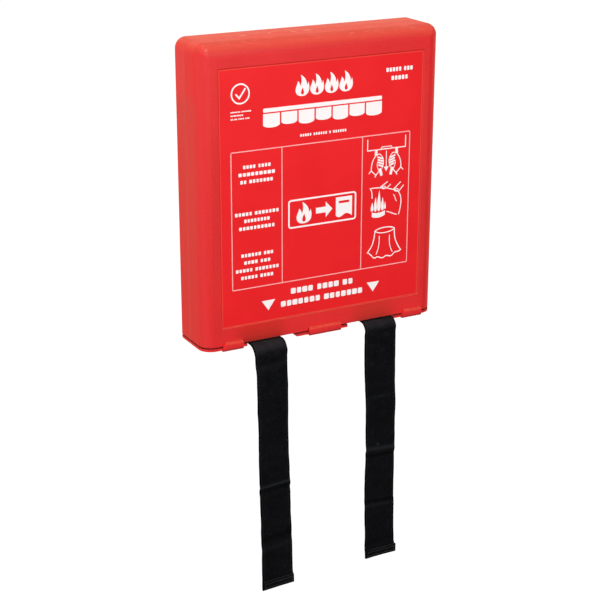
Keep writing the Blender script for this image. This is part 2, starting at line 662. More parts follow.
# ---------------------------------------------------------------------------
# straps: one length of webbing each, from the sewn leg to the doubled end
# ---------------------------------------------------------------------------
def strap_path(strap):
    """Centreline (y, z): down the leg, forward, over the front bend and down the tail."""
    path = []
    z = LEG_TOP_Z
    while z > EXIT_Z + INNER_R + 1.0:
        path.append((LEG_Y, z))
        z -= 2.0
    centre_y, centre_z = LEG_Y - INNER_R, EXIT_Z + INNER_R
    for i in range(13):
        angle = i / 12 * math.pi / 2
        path.append((centre_y + INNER_R * math.cos(angle), centre_z - INNER_R * math.sin(angle)))
    y = centre_y - 1.2
    while y > strap.bend_y + 0.6:
        path.append((y, EXIT_Z))
        y -= 1.2
    radius = strap.bend_r
    top_y, top_z = strap.bend_y - radius, EXIT_Z - radius
    for i in range(21):
        angle = i / 20 * math.pi / 2
        path.append((strap.bend_y - radius * math.sin(angle), top_z + radius * math.cos(angle)))
    steps = 260
    for i in range(1, steps + 1):
        t = i / steps
        path.append((top_y + (strap.tip_y - top_y) * t ** 0.8,
                     top_z + (strap.tip_z + 0.9 - top_z) * t))
    return path


def hem_turn(path, radius, rise):
    """The end folded to the front: half a turn, then up by rise."""
    (y0, z0), (y1, z1) = path[-2:]
    length = math.hypot(y1 - y0, z1 - z0)
    down_y, down_z = (y1 - y0) / length, (z1 - z0) / length
    front_y, front_z = down_z, -down_y
    centre_y, centre_z = y1 + front_y * radius, z1 + front_z * radius
    turn = []
    for i in range(1, 11):
        angle = i / 10 * math.pi
        c, s = math.cos(angle), math.sin(angle)
        turn.append((centre_y - front_y * radius * c + down_y * radius * s,
                     centre_z - front_z * radius * c + down_z * radius * s))
    end_y, end_z = turn[-1]
    steps = int(rise / 0.9)
    for i in range(1, steps + 1):
        distance = rise * i / steps
        turn.append((end_y - down_y * distance, end_z - down_z * distance))
    return turn


def eased_table(places, values, t):
    """Value of a table at t, eased between its rows."""
    if t <= places[0]:
        return float(values[0])
    if t >= places[-1]:
        return float(values[-1])
    k = int(np.searchsorted(places, t)) - 1
    q = (t - places[k]) / (places[k + 1] - places[k])
    q = q * q * (3 - 2 * q)
    return float(values[k] * (1 - q) + values[k + 1] * q)


def strap_section():
    """Closed outline (across, offset to the front): front left to right, round and back."""
    columns, spread = 44, 0.86           # columns crowd towards both edges
    edge_r, half_t = 0.35, STRAP_T / 2
    turns = np.linspace(-1, 1, columns) * math.pi / 2 * spread
    front = []
    for u in STRAP_HALF * np.sin(turns) / math.sin(math.pi / 2 * spread):
        inset = (1 - abs(u) / STRAP_HALF) * 19
        # a shallow groove just inside each edge
        offset = half_t * (1.0 - 0.14 * math.exp(-(inset - 1.6) ** 2 / 0.6))
        front.append((u * (1 - edge_r / STRAP_HALF), offset))
    right = [(STRAP_HALF - edge_r + edge_r * math.cos(a), half_t * math.sin(a))
             for a in np.linspace(math.pi / 2, -math.pi / 2, 7)[1:-1]]
    back = [(u, -offset) for u, offset in reversed(front)]
    left = [(-u, -offset) for u, offset in right]
    return front + right + back + left


def folds(marks, t, u):
    """Sum of the tilted marks (place, amount, width, tilt) at a point of the tail."""
    return sum(amount * math.exp(-((t - place - tilt * u / STRAP_HALF) / width) ** 2)
               for place, amount, width, tilt in marks)


def slack(strap, t, u, x, z):
    """How far the hanging webbing sways back or forth: slow twist, cupping and old folds."""
    seed, across = strap.seed, u / STRAP_HALF
    sway = 0.9 * math.sin(2 * math.pi * (t * 1.15 + 0.1 + seed))
    sway += 0.55 * fbm(t * 5.0 + seed, u * 0.02, 1.3)
    sway += across * 0.9 * math.sin(math.pi * t * 1.6 + seed)
    sway += -0.35 * (1 - across ** 2)
    sway += folds(strap.marks, t, u)
    return sway + 0.12 * fbm(x * 0.11, z * 0.11, seed, 2)


def build_strap(side, strap):
    path = strap_path(strap)
    main = len(path)
    path += hem_turn(path, radius=STRAP_T / 2 + 0.12, rise=HEM_H - 0.9)
    points = np.array(path)
    travel = np.gradient(points, axis=0)
    travel /= np.linalg.norm(travel, axis=1)[:, None]
    front = np.stack([travel[:, 1], -travel[:, 0]], 1)
    steps = np.linalg.norm(np.diff(points, axis=0), axis=1)
    arc = np.concatenate([[0], np.cumsum(steps)])
    tail = next(i for i, (y, z) in enumerate(path) if z < EXIT_Z - strap.bend_r - 0.2)
    slot = next(i for i, (y, z) in enumerate(path) if y < -55.2)
    hem_arc = arc[main - 1]
    tail_length = hem_arc - arc[tail]
    hang = np.array(strap.hang)
    section = strap_section()
    verts, uvs, creases = [], [], []
    for i, (y, z) in enumerate(path):
        t = (arc[i] - arc[tail]) / tail_length   # 0 at the top of the tail, 1 at the hem's fold
        fade = clamp((t - 0.02) / 0.10, 0.0, 1.0)
        centre = strap.x + eased_table(hang[:, 0], hang[:, 1], t)
        yaw = math.radians(eased_table(hang[:, 0], hang[:, 2], t))
        near_end = clamp((arc[i] - hem_arc + HEM_H + 3) / 4.0, 0.0, 1.0)
        upright = abs(travel[i, 1]) if i < main else 1.0
        slot_dark = math.exp(-((arc[i] - arc[slot]) / 1.3) ** 2)
        for u, offset in section:
            x = centre + u
            sway = slack(strap, t, u, x, z) * fade
            # uneven edges, and a doubled end that spreads
            edge = (abs(u) / STRAP_HALF) ** 8
            waver = fbm(arc[i] * 0.05, strap.seed, math.copysign(4, u), 2)
            x += math.copysign(edge, u) * 0.35 * waver * fade
            x += near_end * 0.55 * (u / STRAP_HALF) * (1.0 if u > 0 else 0.35)
            dx = x - centre
            verts.append((
                centre + dx * math.cos(yaw),
                y + front[i, 0] * offset - upright * sway + dx * math.sin(yaw),
                z + front[i, 1] * offset))
            uvs.append((u + STRAP_HALF, arc[i]))
            crease = folds(strap.shades, t, u) - slot_dark
            for place, across, size in strap.lint:
                along = (t - place) * tail_length / (1.7 * size)
                crease += 2.4 * math.exp(-(along ** 2 + ((u - across) / size) ** 2))
            creases.append(crease)
    ring, rows = len(section), len(path)
    faces = []
    for i in range(rows - 1):
        for j in range(ring):
            a, b = i * ring + j, i * ring + (j + 1) % ring
            faces.append((a, b, b + ring, a + ring))
    faces.append(tuple(reversed(range(ring))))
    faces.append(tuple((rows - 1) * ring + j for j in range(ring)))
    ob = new_mesh(f"{side}_strap_webbing", verts, faces, MAT["webbing"], uvs)
    ob.data.attributes.new("crease", "FLOAT", "POINT").data.foreach_set("value", creases)
    face_outwards(ob.data)
    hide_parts(f"{side}_strap_root", f"{side}_strap_tail")
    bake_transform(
        ob, "blanket", f"{side}_strap",
        start=(0, strap.bend_y * MM, EXIT_Z * MM),
        end=(0, (strap.bend_y - strap.bend_r) * MM, (EXIT_Z - strap.bend_r) * MM),
    )
    return ob


webbings = {side: build_strap(side, strap) for side, strap in STRAPS.items()}


# ---------------------------------------------------------------------------
# stitches
# ---------------------------------------------------------------------------
BOX_STITCH = dict(length=2.5, gap=0.7, radius=0.34)
HEM_STITCH = dict(length=2.5, gap=0.7, radius=0.30)
HEM_END_STITCH = dict(length=1.8, gap=0.5, radius=0.30)
CLOTH_STITCH = dict(length=2.8, gap=1.0, radius=0.26)
HEM_ROWS = (2.4, 6.9)               # heights of the two rows above the strap's tip
HEM_REACH = 16.8                    # half length of a row
STITCH_LIFT = 0.16                  # stitches lie this far off the webbing


def stitch_run(points, length, gap, radius):
    """Separate stitches along a polyline on a front face. Returns verts, faces, uvs."""
    rings, sides = 9, 8
    verts, faces, uvs = [], [], []
    front = Vector((0, -1, 0))
    points = [Vector(p) for p in points]
    for start, end in zip(points[:-1], points[1:]):
        leg = end - start
        count = max(1, round(leg.length / (length + gap)))
        pitch = leg.length / count
        along = leg.normalized()
        across = along.cross(front)
        visible = pitch - gap
        for k in range(count):
            first = start + along * (k * pitch + gap / 2)
            base = len(verts)
            for i in range(rings):
                t = i / (rings - 1)
                # full in the middle, and diving into the cloth at both ends
                r = radius * max(0.28, math.sin(math.pi * (0.06 + 0.88 * t)) ** 0.42)
                lift = 0.35 * radius * (math.sin(math.pi * t) * 1.7 - 1.1)
                centre = first + along * (visible * t) + front * lift
                for j in range(sides):
                    angle = 2 * math.pi * j / sides
                    verts.append(tuple(centre + across * (math.cos(angle) * r)
                                       + front * (math.sin(angle) * r * 0.85)))
                    uvs.append((j / sides * 2 * math.pi * radius, t * visible))
            for i in range(rings - 1):
                for j in range(sides):
                    a, b = base + i * sides + j, base + i * sides + (j + 1) % sides
                    faces.append((a, b, b + sides, a + sides))
            faces.append(tuple(base + j for j in reversed(range(sides))))
            faces.append(tuple(base + (rings - 1) * sides + j for j in range(sides)))
    return verts, faces, uvs


def stitches(name, runs, mat):
    """One object from runs of (points, stitch sizes)."""
    verts, faces, uvs = [], [], []
    for points, sizes in runs:
        run_verts, run_faces, run_uvs = stitch_run(points, **sizes)
        base = len(verts)
        verts += run_verts
        faces += [tuple(base + i for i in face) for face in run_faces]
        uvs += run_uvs
    ob = new_mesh(name, verts, faces, mat, uvs)
    face_outwards(ob.data)
    return ob


def on_surface(ob, places, lift):
    """Points lying just off the front of a mesh at (x, z) places."""
    return [(x, surface_y(ob, x, z) - lift, z) for x, z in places]


def sew_hem(side, strap):
    """Two rows across the doubled end, joined at both sides."""
    web = webbings[side]
    centre = strap.x + strap.hang[-1][1]
    left, right = centre - HEM_REACH, centre + HEM_REACH
    rows = [strap.tip_z + row for row in HEM_ROWS]
    runs = []
    for z in rows:
        places = [(x, z) for x in np.linspace(left, right, 5)]
        runs.append((on_surface(web, places, STITCH_LIFT), HEM_STITCH))
    for x in (left, right):
        places = [(x, z) for z in rows]
        runs.append((on_surface(web, places, STITCH_LIFT), HEM_END_STITCH))
    hem = stitches(f"{side}_hem_thread", runs, MAT["thread"])
    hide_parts(f"{side}_hem_stitching")
    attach(hem, f"{side}_strap")


def sew_anchor(side, strap):
    """A crossed box of stitches on the leg inside the case."""
    y = LEG_Y - STRAP_T / 2 - 0.12
    half = STRAP_HALF - 4.4
    low, high = LEG_TOP_Z - 33.6, LEG_TOP_Z - 4.4
    left, right = strap.x - half, strap.x + half
    corners = [(left, low), (right, low), (right, high), (left, high)]
    # corners joined by each run, and how far it lies in front of the first
    courses = (((0, 1, 2, 3, 0), 0.0), ((0, 2), 0.1), ((1, 3), 0.22))
    runs = [([(corners[k][0], y - raised, corners[k][1]) for k in order], BOX_STITCH)
            for order, raised in courses]
    box = stitches(f"{side}_anchor_thread", runs, MAT["thread"])
    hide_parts(f"{side}_strap_stitching")
    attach(box, "blanket")


bpy.context.view_layer.update()
for side, strap in STRAPS.items():
    sew_hem(side, strap)
    sew_anchor(side, strap)


# ---------------------------------------------------------------------------
# the blanket: a square of cloth folded in five across, then in four along
# ---------------------------------------------------------------------------
LAYERS, LEAVES = 5, 4
CLOTH_HALF_X = 107.0
CLOTH_LOW, CLOTH_HIGH = -146.4, 125.3
CLOTH_FRONT, CLOTH_BACK = -39.9, -10.3
PITCH = (CLOTH_BACK - CLOTH_FRONT) / (LAYERS * LEAVES - 1)   # from one thickness to the next
FOLD_R = PITCH / 2                                           # folds between layers
TURN_R = (LAYERS - 0.5) * PITCH                              # folds between leaves
FLAT_HALF = CLOTH_HALF_X - FOLD_R
FLAT_H = CLOTH_HIGH - CLOTH_LOW - 2 * TURN_R


def cloth_stations(count, flat_steps, fold_steps, flat, turn):
    """Stations (panel, is a fold, place from 0 to 1, distance along the cloth)."""
    stations = []
    for panel in range(count):
        start = panel * (flat + turn)
        for k in range(flat_steps + 1):
            q = k / flat_steps
            stations.append((panel, False, q, start + q * flat))
        if panel < count - 1:
            for k in range(1, fold_steps):
                q = k / fold_steps
                stations.append((panel, True, q, start + (flat + q * turn)))
    return stations


def jitter(a, b, c):
    return fbm(a * 3.71 + 0.3, b * 2.13 + 0.7, c * 1.37 + 0.11, 2)


def fold_drift(layer, leaf, along):
    """How far the fold after a layer stands out, changing along its length."""
    return (0.9 * jitter(layer, leaf, 5.0 + 0.02 * along)
            + 0.5 * jitter(layer * 2, leaf, 40 + 0.05 * along))


def strip_point(layer, is_fold, q, leaf, along):
    """(x, depth) in the cross-section of the strip of five layers."""
    way = 1 if layer % 2 == 0 else -1
    if is_fold:
        angle = q * math.pi
        out = FOLD_R * 1.6 * math.sin(angle) + fold_drift(layer, leaf, along)
        x = way * FLAT_HALF + way * out
        return x, layer * PITCH + FOLD_R - FOLD_R * math.cos(angle)
    across = -1 + 2 * q
    x = way * across * FLAT_HALF
    # the last part of each layer follows its fold in and out
    pull = max(0.0, abs(across) - 0.75) / 0.25
    side = 1 if across * way > 0 else -1
    x += side * pull ** 2 * fold_drift(layer if across > 0 else layer - 1, leaf, along)
    return x, layer * PITCH


def leaf_point(leaf, is_fold, q, layer, depth, x):
    """(y, z) of a strip point once the strip is folded into leaves."""
    up = leaf % 2 == 0
    if up:
        y = leaf * LAYERS * PITCH + depth
    else:
        y = leaf * LAYERS * PITCH + (LAYERS - 1) * PITCH - depth
    if is_fold:
        centre_y = (leaf + 1) * LAYERS * PITCH - PITCH / 2
        radius = centre_y - y
        angle = q * math.pi
        centre_z = (CLOTH_HIGH - TURN_R) if up else (CLOTH_LOW + TURN_R)
        flatten = 0.93 + 0.05 * jitter(leaf, 3.3, x * 0.02)
        z = centre_z + (1 if up else -1) * radius * math.sin(angle) * flatten
        return CLOTH_FRONT + centre_y - radius * math.cos(angle), z
    if up:
        z = CLOTH_LOW + TURN_R + q * FLAT_H
    else:
        z = CLOTH_HIGH - TURN_R - q * FLAT_H
    # free ends of the cloth run on to the fold line
    if leaf == 0 and q < 0.12:
        short = 0.5 + 0.35 * (layer + 0.6 * math.sin(layer * 2.1))
        z -= (1 - q / 0.12) * (TURN_R - short)
    if leaf == LEAVES - 1 and q > 0.88:
        short = 0.6 + 0.3 * (layer + 0.6 * math.cos(layer * 1.7))
        z -= (q - 0.88) / 0.12 * (TURN_R - short)
    return CLOTH_FRONT + y, z


def build_blanket():
    across = cloth_stations(LAYERS, 24, 6, flat=2 * FLAT_HALF, turn=math.pi * FOLD_R)
    along = cloth_stations(LEAVES, 36, 9, flat=FLAT_H, turn=math.pi * TURN_R * 0.6)
    verts, uvs = [], []
    for leaf, leaf_fold, leaf_q, v in along:
        for layer, layer_fold, layer_q, u in across:
            x, depth = strip_point(layer, layer_fold, layer_q, leaf, v)
            y, z = leaf_point(leaf, leaf_fold, leaf_q, layer, depth, x)
            # each layer's own ripple, and a slow belly shared by the whole stack
            ripple = 0.22 * fbm(x * 0.035 + layer * 4.1, v * 0.03, leaf * 7.7, 2)
            belly = 0.45 * fbm(x * 0.012 + 3.0, z * 0.012, 0.5, 2)
            y += ripple + belly
            z += 0.35 * fbm(x * 0.02, leaf * 3.3 + layer, v * 0.01, 2)
            verts.append((clamp(x, -109.4, 109.4), clamp(y, -40.35, -9.75),
                          clamp(z, -147.1, 126.0)))
            uvs.append((u, v))
    columns = len(across)
    faces = []
    for j in range(len(along) - 1):
        for i in range(columns - 1):
            a = j * columns + i
            faces.append((a, a + 1, a + 1 + columns, a + columns))
    ob = new_mesh("folded_glass_cloth", verts, faces, MAT["cloth"], uvs)
    # the hem is twice as thick as the rest
    hem = ob.vertex_groups.new(name="hem")
    u_end, v_end = across[-1][3], along[-1][3]
    for k, (u, v) in enumerate(uvs):
        in_hem = min(u, u_end - u, v, v_end - v) < 11.0
        hem.add([k], 1.0 if in_hem else 0.5, "REPLACE")
    add_modifier(ob, "thickness", "SOLIDIFY", thickness=0.0011, offset=0.0, vertex_group="hem")
    depsgraph = bpy.context.evaluated_depsgraph_get()
    mesh = bpy.data.meshes.new_from_object(
        ob.evaluated_get(depsgraph), preserve_all_data_layers=True, depsgraph=depsgraph)
    ob.modifiers.clear()
    ob.data = mesh
    mesh.polygons.foreach_set("use_smooth", [True] * len(mesh.polygons))
    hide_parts("fire_blanket")
    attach(ob, "blanket")
    return ob


def sew_cloth(blanket):
    """Hem stitches on the front panel: along its bottom edge and its left edge."""
    row_z, column_x = -134.5, -96.5
    row = [(x, row_z) for x in np.linspace(-104, 104, 27)]
    column = [(column_x, z) for z in np.linspace(row_z, 116, 32)]
    runs = [(on_surface(blanket, places, lift=0.12), CLOTH_STITCH) for places in (row, column)]
    thread = stitches("cloth_hem_thread", runs, MAT["white_thread"])
    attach(thread, "blanket")


blanket = build_blanket()
bpy.context.view_layer.update()
sew_cloth(blanket)


# ---------------------------------------------------------------------------
# outlines for the label's print: (x from the label's centre, z from its lower edge)
# ---------------------------------------------------------------------------
def rounded(x0, x1, z0, z1, radius, steps):
    """A rectangle; steps is the count along each rounded corner."""
    if radius == 0:
        return [(x0, z0), (x1, z0), (x1, z1), (x0, z1)]
    left, right, low, high = x0 + radius, x1 - radius, z0 + radius, z1 - radius
    out = []
    for x, z, start in ((right, low, -90), (right, high, 0), (left, high, 90), (left, low, 180)):
        for i in range(steps + 1):
            angle = math.radians(start + 90 * i / steps)
            out.append((x + radius * math.cos(angle), z + radius * math.sin(angle)))
    return out


def ellipse(x, z, radius_x, radius_z, count):
    angles = [2 * math.pi * i / count for i in range(count)]
    return [(x + radius_x * math.cos(a), z + radius_z * math.sin(a)) for a in angles]


def curve(points, steps):
    """Points along joined cubic curves; each shares its end point with the next."""
    out = [points[0]]
    for first in range(0, len(points) - 1, 3):
        piece = points[first:first + 4]
        for i in range(1, steps + 1):
            t = i / steps
            weights = ((1 - t) ** 3, 3 * t * (1 - t) ** 2, 3 * t * t * (1 - t), t ** 3)
            out.append(tuple(sum(w * p[k] for w, p in zip(weights, piece)) for k in (0, 1)))
    return out


def cap(end, heading, turn, width):
    """Points of a round line end, without its first and last."""
    start = math.atan2(heading[1], heading[0]) + turn
    angles = [start - math.pi * i / 6 for i in range(1, 6)]
    return [(end[0] + width / 2 * math.cos(a), end[1] + width / 2 * math.sin(a)) for a in angles]


def stroke(points, width, closed=False, caps=True):
    """Outline loops of a line along points."""
    points = [np.array(p, float) for p in points]
    count = len(points)
    left, right = [], []
    for i, here in enumerate(points):
        into = here - points[i - 1]
        away = points[(i + 1) % count] - here
        if not closed and i == 0:
            into = away
        if not closed and i == count - 1:
            away = into
        into, away = into / np.linalg.norm(into), away / np.linalg.norm(away)
        side_in = np.array((-into[1], into[0]))
        middle = side_in + np.array((-away[1], away[0]))
        middle = middle / np.linalg.norm(middle)
        miter = 1 / max(float(middle @ side_in), 0.5)
        left.append(tuple(here + middle * width / 2 * miter))
        right.append(tuple(here - middle * width / 2 * miter))
    right.reverse()
    if closed:
        return [left, right]
    if caps:
        left += cap(points[-1], points[-1] - points[-2], math.pi / 2, width)
        right += cap(points[0], points[1] - points[0], -math.pi / 2, width)
    return [left + right]


# control points of joined curves, as shares of the width (from the centre) and the height
FLAME = [
    (0.00, 0.0), (-0.42, 0.0), (-0.56, 0.22),
    (-0.46, 0.42), (-0.40, 0.55), (-0.34, 0.58),
    (-0.32, 0.72), (-0.20, 0.66), (-0.14, 0.56),
    (-0.14, 0.46), (-0.02, 0.62), (-0.02, 0.82),
    (-0.10, 1.0), (0.26, 0.88), (0.36, 0.62),
    (0.34, 0.50), (0.42, 0.56), (0.44, 0.62),
    (0.44, 0.66), (0.62, 0.30), (0.48, 0.0), (0.0, 0.0),
]
DROP = [
    (0, 0), (-0.62, 0.0), (-0.55, 0.45),
    (0.02, 1.0), (0.12, 0.62), (0.66, 0.10), (0, 0),
]


def standing(outline, x, z, width, height):
    """FLAME or DROP standing on z."""
    return curve([(x + px * width, z + pz * height) for px, pz in outline], 8)[:-1]


class Print:
    """Flat shapes on the film's face, made into one object of thin closed solids."""

    THICKNESS = 0.10
    SUNK = 0.02                     # how far a shape reaches into the film
    BLOCK_WIDTHS = (1.0, 0.9, 1.06, 0.94, 0.84)

    def __init__(self, name, mat):
        self.name, self.mat = name, mat
        self.verts, self.faces, self.smooth = [], [], []
        self.count = 0

    def shape(self, loops):
        """A filled shape; loops inside others are holes."""
        data = bpy.data.curves.new(self.name, "CURVE")
        data.dimensions = "2D"
        data.fill_mode = "BOTH"
        data.extrude = self.THICKNESS * MM / 2
        for loop in loops:
            spline = data.splines.new("POLY")
            spline.points.add(len(loop) - 1)
            for point, (x, z) in zip(spline.points, loop):
                point.co = (x * MM, z * MM, 0, 1)
            spline.use_cyclic_u = True
        ob = link(self.name, data)
        depsgraph = bpy.context.evaluated_depsgraph_get()
        mesh = bpy.data.meshes.new_from_object(ob.evaluated_get(depsgraph))
        bpy.data.objects.remove(ob)
        bpy.data.curves.remove(data)
        self.stand_on_label(mesh)
        base = len(self.verts)
        self.verts += [tuple(v.co) for v in mesh.vertices]
        self.faces += [[base + i for i in face.vertices] for face in mesh.polygons]
        self.smooth += [face.use_smooth for face in mesh.polygons]
        bpy.data.meshes.remove(mesh)

    def stand_on_label(self, mesh):
        """Weld a flat-lying solid and set it upright on the film."""
        # shapes take turns at five heights, so that overlapping faces don't coincide
        lift = (self.count % 5) * 0.006 * MM
        self.count += 1
        bm = bmesh.new()
        bm.from_mesh(mesh)
        bmesh.ops.remove_doubles(bm, verts=bm.verts, dist=1e-6)
        for v in bm.verts:
            x, z, depth = v.co
            y = LABEL_FACE_Y * MM - depth - self.THICKNESS * MM / 2 + self.SUNK * MM - lift
            v.co = (x, y, LABEL_Z * MM + z)
        bmesh.ops.recalc_face_normals(bm, faces=bm.faces)
        bm.to_mesh(mesh)
        bm.free()

    def rect(self, x0, x1, z0, z1, radius=0, steps=6):
        self.shape([rounded(x0, x1, z0, z1, radius, steps)])

    def frame(self, x0, x1, z0, z1, width, radius):
        inner = rounded(x0 + width, x1 - width, z0 + width, z1 - width, radius - width, 8)
        self.shape([rounded(x0, x1, z0, z1, radius, 8), inner])

    def line(self, points, width, closed=False, caps=True):
        self.shape(stroke(points, width, closed, caps))

    def bars(self, z, x0, x1, words, height, gap, slit):
        """A row of blocks centred on z: words are block counts, with a gap between words."""
        unit = ((x1 - x0) - gap * (len(words) - 1)) / sum(words)
        x = x0
        k = 0
        for blocks in words:
            for _ in range(blocks):
                width = (unit - slit) * self.BLOCK_WIDTHS[k % 5]
                self.rect(x + (unit - width) / 2, x + (unit + width) / 2,
                          z - height / 2, z + height / 2, radius=height * 0.16, steps=2)
                x += unit
                k += 1
            x += gap

    def done(self):
        mesh = bpy.data.meshes.new(self.name)
        mesh.from_pydata(self.verts, [], self.faces)
        mesh.materials.append(self.mat)
        mesh.polygons.foreach_set("material_index", [0] * len(self.faces))
        mesh.polygons.foreach_set("use_smooth", self.smooth)
        mesh.update()
        ob = link(self.name, mesh)
        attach(ob, "case")


# ---------------------------------------------------------------------------
# the label's print
# ---------------------------------------------------------------------------
def print_bold():
    bold = Print("label_print_bold", MAT["ink"])
    # first title row: four flames
    for x in (-24.6, -8.2, 8.2, 24.6):
        bold.shape([standing(FLAME, x, 227.2, 15.2, 21.0),
                    standing(DROP, x + 0.5, 228.8, 4.4, 7.0)])
    # second title row: a hanging cloth in seven pleats under its header
    left, right = -67.7, 66.6
    bold.rect(left, right, 214.9, 218.9, radius=1.2)
    pleats, half_gap, top, bottom = 7, 0.85, 213.5, 199.6
    edges = np.linspace(left, right, pleats + 1)
    for i in range(pleats):
        a = edges[i] + (0.0 if i == 0 else half_gap)
        b = edges[i + 1] - (0.0 if i == pleats - 1 else half_gap)
        low = bottom + (1.5 if i % 2 else 0.0)
        middle = (a + b) / 2
        scallop = ((a, low + 2.6), (a + (middle - a) * 0.2, low - 0.9),
                   (b - (b - middle) * 0.2, low - 0.9), (b, low + 2.6))
        bold.shape([[(b, top), (a, top)] + curve(scallop, 12)])
    # badge: a ring with a tick
    bold.shape([ellipse(-92.0, 235.8, r, r, 48) for r in (10.2, 8.7)])
    bold.line([(-96.6, 235.4), (-93.2, 231.6), (-87.0, 240.2)], 1.7)
    # a downward triangle at each side of the lower rows
    bold.shape([[(-63.0, 11.1), (-55.5, 21.8), (-70.6, 21.7)]])
    bold.shape([[(60.1, 11.3), (67.6, 21.8), (52.5, 21.9)]])
    # the lower rows
    bold.bars(27.2, -37.8, 36.1, (4, 4, 2), height=5.9, gap=3.6, slit=1.15)
    bold.bars(15.0, -49.3, 47.7, (7, 7), height=5.9, gap=3.7, slit=1.15)
    bold.done()


# rows of blocks: (z, x0, x1, words)
BADGE_ROWS = [
    (218.4, -102.8, -80.6, (7, 7)),
    (215.0, -102.8, -89.2, (8,)),
    (211.5, -102.8, -82.4, (2, 2, 4, 3)),
]
COLUMN_ROWS = [
    (163.0, -90.4, -59.4, (4, 4)), (155.6, -95.5, -54.5, (9,)), (148.1, -93.6, -56.9, (2, 7)),
    (115.5, -99.8, -50.5, (5, 7)), (108.3, -89.8, -60.7, (8,)), (100.8, -95.4, -55.2, (10,)),
    (72.8, -93.4, -56.9, (6, 3)), (65.1, -90.3, -60.1, (4, 3)),
    (57.2, -99.6, -50.7, (5, 7)), (49.5, -93.9, -57.0, (5, 4)),
]


def print_fine():
    fine = Print("label_print_fine", MAT["ink"])
    # under the pleats, then the upper right corner
    fine.bars(188.0, -27.2, 25.9, (5, 6, 1, 6), height=2.7, gap=1.8, slit=0.85)
    fine.bars(244.3, 70.8, 102.6, (5, 3), height=4.2, gap=2.2, slit=0.95)
    fine.bars(235.6, 76.8, 97.2, (5,), height=4.2, gap=2.0, slit=0.95)
    # under the badge
    for row in BADGE_ROWS:
        fine.bars(*row, height=1.35, gap=0.9, slit=0.35)
    # left column: three groups of centred rows
    for row in COLUMN_ROWS:
        fine.bars(*row, height=3.5, gap=2.2, slit=0.95)
    fine.done()


def print_lines():
    """The box round the three columns, and the lines between them."""
    lines = Print("label_print_lines", MAT["line"])
    lines.frame(-103.4, 101.4, 37.5, 179.3, width=1.0, radius=1.8)
    lines.rect(-47.7, -46.7, 38.2, 178.6)
    lines.rect(44.3, 45.3, 38.2, 178.6)
    lines.done()


LINE, THIN = 1.0, 0.8               # widths of the icons' lines


def centre_icon(icons):
    """A framed panel with a flame, an arrow and a cloth."""
    icons.frame(-40.3, 38.3, 93.4, 123.3, width=1.7, radius=3.4)
    icons.shape([standing(FLAME, -22.5, 97.2, 17.0, 22.2),
                 standing(DROP, -22.0, 99.0, 5.2, 8.6)])
    icons.shape([[(-8.6, 105.4), (2.6, 105.4), (2.6, 100.2), (10.4, 108.4),
                  (2.6, 116.6), (2.6, 111.4), (-8.6, 111.4)]])
    wavy_edge = curve(((14.4, 100.2), (17.2, 96.8), (20.4, 98.0), (23.2, 100.2),
                       (26.0, 102.4), (29.4, 101.4), (33.4, 98.2)), 6)
    sheet = [(14.4, 119.2)] + wavy_edge + [(33.4, 119.2)]
    icons.shape([sheet[::-1], rounded(17.6, 30.2, 112.6, 115.2, 1.2, 4)])


def pull_icon(icons):
    """Right column, top: two straps under the case, a hand on each, arrow down."""
    middle = 73.3
    icons.line([(50.8, 175.0), (50.8, 163.3), (96.0, 163.2), (96.0, 175.3)], LINE, caps=False)
    icons.line([(66.4, 163.6), (67.8, 165.6), (78.8, 165.6), (80.2, 163.6)], 0.7)
    for way in (1, -1):
        def line(points, width, **options):
            icons.line([(middle + way * (x - middle), z) for x, z in points], width, **options)

        # the strap above and below the hand
        line([(61.3, 163.6), (60.9, 157.4)], 3.0, caps=False)
        line([(66.0, 143.4), (67.9, 135.6)], 3.0, caps=False)
        # four fingers
        for k in range(4):
            line([(63.4 + 0.35 * k, 155.4 - k * 2.75), (68.6 + 0.1 * k, 153.6 - k * 2.75)], 1.75)
        # the hand's outline and the wrist
        line(curve(((62.6, 157.6), (64.2, 159.8), (66.6, 158.8), (69.4, 153.8),
                    (70.4, 150.4), (70.2, 146.4), (68.4, 143.4)), 6), THIN)
        line(curve(((60.6, 157.0), (56.4, 152.6), (55.4, 147.4), (55.6, 142.0)), 8), LINE)
        line(curve(((63.0, 150.6), (61.6, 147.0), (63.0, 144.4), (64.8, 141.0)), 6), THIN)
        line([(53.0, 139.4), (55.6, 142.0), (61.2, 136.6)], LINE)
        line([(60.2, 134.9), (61.2, 136.6), (65.0, 140.8)], LINE)
    icons.line([(middle, 160.8), (middle, 144.0)], 0.85)
    icons.shape([[(70.4, 144.6), (middle, 139.6), (76.2, 144.6)]])


